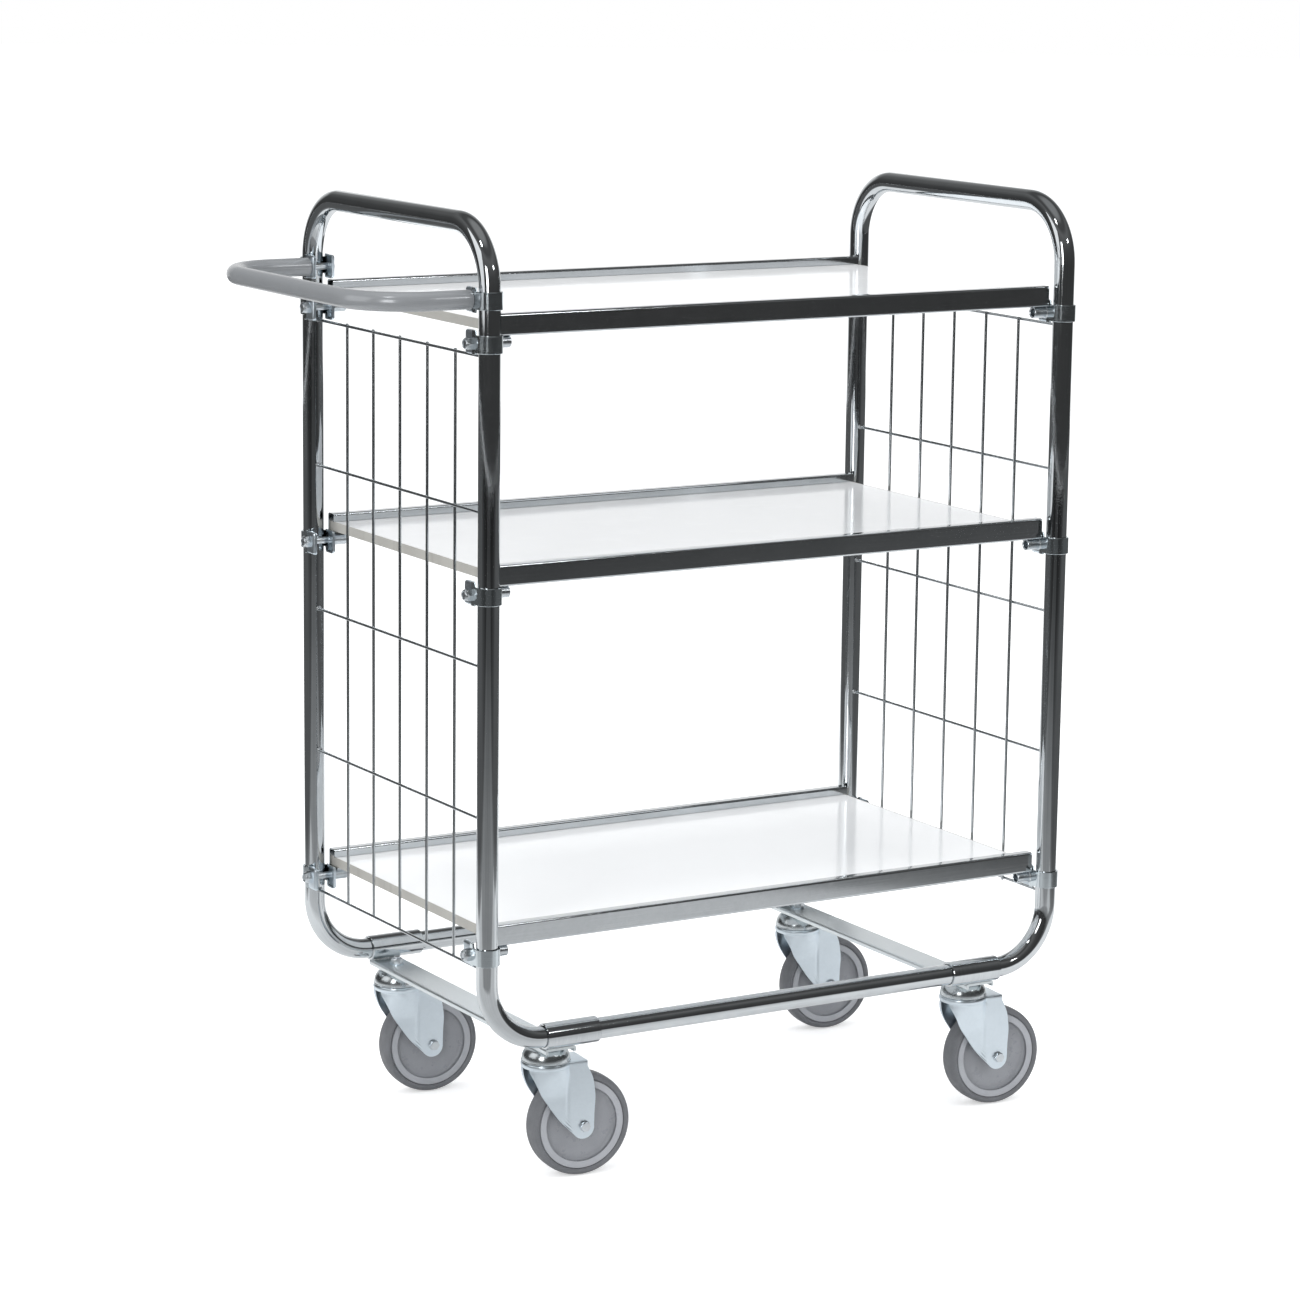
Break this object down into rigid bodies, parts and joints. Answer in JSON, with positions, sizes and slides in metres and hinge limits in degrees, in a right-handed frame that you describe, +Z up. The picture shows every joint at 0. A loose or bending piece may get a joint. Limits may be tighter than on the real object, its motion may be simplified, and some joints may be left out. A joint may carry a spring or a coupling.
{
  "type": "shelf trolley",
  "caption": "Tube-framed shelf trolley with laminated shelves between folded rails, welded wire ends, a bent push handle and free-swivelling casters.",
  "frame": {"origin": "on the floor, under the middle of the outer box", "axes": "+X along the shelves away from the handle, +Y across them from the front to the rear, +Z up"},
  "size_m": [0.9524, 0.4752, 1.1276],
  "materials": {
    "bright_zinc": "bright zinc plating on drawn steel tube and folded sheet, nearly mirror-like",
    "satin_zinc": "satin bluish zinc plating on pressed steel and bolts",
    "wire_zinc": "duller zinc plating on drawn wire",
    "white_laminate": "white high-gloss laminate on chipboard, with a beige-grey strip on each end",
    "grey_coating": "grey semi-gloss powder coating on steel tube",
    "grey_plastic": "grey moulded plastic with a soft sheen",
    "grey_rubber": "dark grey solid rubber with a scuffed tread"
  },
  "bodies": {
    "frame": {"left_end_frame": "bright_zinc", "right_end_frame": "bright_zinc", "left_crossbeam": "satin_zinc", "right_crossbeam": "satin_zinc", "left_wire_panel": "wire_zinc", "right_wire_panel": "wire_zinc", "front_left_sleeve": "bright_zinc", "rear_left_sleeve": "bright_zinc", "front_right_sleeve": "bright_zinc", "rear_right_sleeve": "bright_zinc", "front_lower_rail": "bright_zinc", "rear_lower_rail": "bright_zinc", "top_board": "white_laminate", "middle_board": "white_laminate", "bottom_board": "white_laminate", "top_front_rail": "bright_zinc", "top_rear_rail": "bright_zinc", "middle_front_rail": "bright_zinc", "middle_rear_rail": "bright_zinc", "bottom_front_rail": "bright_zinc", "bottom_rear_rail": "bright_zinc", "top_front_left_clamp": "satin_zinc", "top_front_right_clamp": "satin_zinc", "top_rear_left_clamp": "satin_zinc", "top_rear_right_clamp": "satin_zinc", "middle_front_left_clamp": "satin_zinc", "middle_front_right_clamp": "satin_zinc", "middle_rear_left_clamp": "satin_zinc", "middle_rear_right_clamp": "satin_zinc", "bottom_front_left_clamp": "satin_zinc", "bottom_front_right_clamp": "satin_zinc", "bottom_rear_left_clamp": "satin_zinc", "bottom_rear_right_clamp": "satin_zinc", "handle_tube": "grey_coating", "front_handle_clamp": "satin_zinc", "rear_handle_clamp": "satin_zinc", "front_left_caster_head": "bright_zinc", "front_left_caster_nut": "satin_zinc", "rear_left_caster_head": "bright_zinc", "rear_left_caster_nut": "satin_zinc", "front_right_caster_head": "bright_zinc", "front_right_caster_nut": "satin_zinc", "rear_right_caster_head": "bright_zinc", "rear_right_caster_nut": "satin_zinc"},
    "front_left_caster": {"front_left_fork": "satin_zinc", "front_left_axle": "satin_zinc"},
    "front_left_wheel": {"front_left_hub": "grey_plastic", "front_left_tyre": "grey_rubber"},
    "rear_left_caster": {"rear_left_fork": "satin_zinc", "rear_left_axle": "satin_zinc"},
    "rear_left_wheel": {"rear_left_hub": "grey_plastic", "rear_left_tyre": "grey_rubber"},
    "front_right_caster": {"front_right_fork": "satin_zinc", "front_right_axle": "satin_zinc"},
    "front_right_wheel": {"front_right_hub": "grey_plastic", "front_right_tyre": "grey_rubber"},
    "rear_right_caster": {"rear_right_fork": "satin_zinc", "rear_right_axle": "satin_zinc"},
    "rear_right_wheel": {"rear_right_hub": "grey_plastic", "rear_right_tyre": "grey_rubber"}
  },
  "joints": [
    {"name": "front_left_swivel", "type": "hinge", "parent": "frame", "child": "front_left_caster", "pos_m": [-0.2337, -0.1893, 0.133], "axis": [0, 0, 1], "continuous": true},
    {"name": "front_left_roll", "type": "hinge", "parent": "front_left_caster", "child": "front_left_wheel", "pos_m": [-0.19266, -0.19289, 0.062], "axis": [0.0872, 0.9962, 0], "continuous": true},
    {"name": "rear_left_swivel", "type": "hinge", "parent": "frame", "child": "rear_left_caster", "pos_m": [-0.2337, 0.1893, 0.133], "axis": [0, 0, 1], "continuous": true},
    {"name": "rear_left_roll", "type": "hinge", "parent": "rear_left_caster", "child": "rear_left_wheel", "pos_m": [-0.19266, 0.18571, 0.062], "axis": [0.0872, 0.9962, 0], "continuous": true},
    {"name": "front_right_swivel", "type": "hinge", "parent": "frame", "child": "front_right_caster", "pos_m": [0.3569, -0.1893, 0.133], "axis": [0, 0, 1], "continuous": true},
    {"name": "front_right_roll", "type": "hinge", "parent": "front_right_caster", "child": "front_right_wheel", "pos_m": [0.39794, -0.19289, 0.062], "axis": [0.0872, 0.9962, 0], "continuous": true},
    {"name": "rear_right_swivel", "type": "hinge", "parent": "frame", "child": "rear_right_caster", "pos_m": [0.3569, 0.1893, 0.133], "axis": [0, 0, 1], "continuous": true},
    {"name": "rear_right_roll", "type": "hinge", "parent": "rear_right_caster", "child": "rear_right_wheel", "pos_m": [0.39794, 0.18571, 0.062], "axis": [0.0872, 0.9962, 0], "continuous": true}
  ]
}
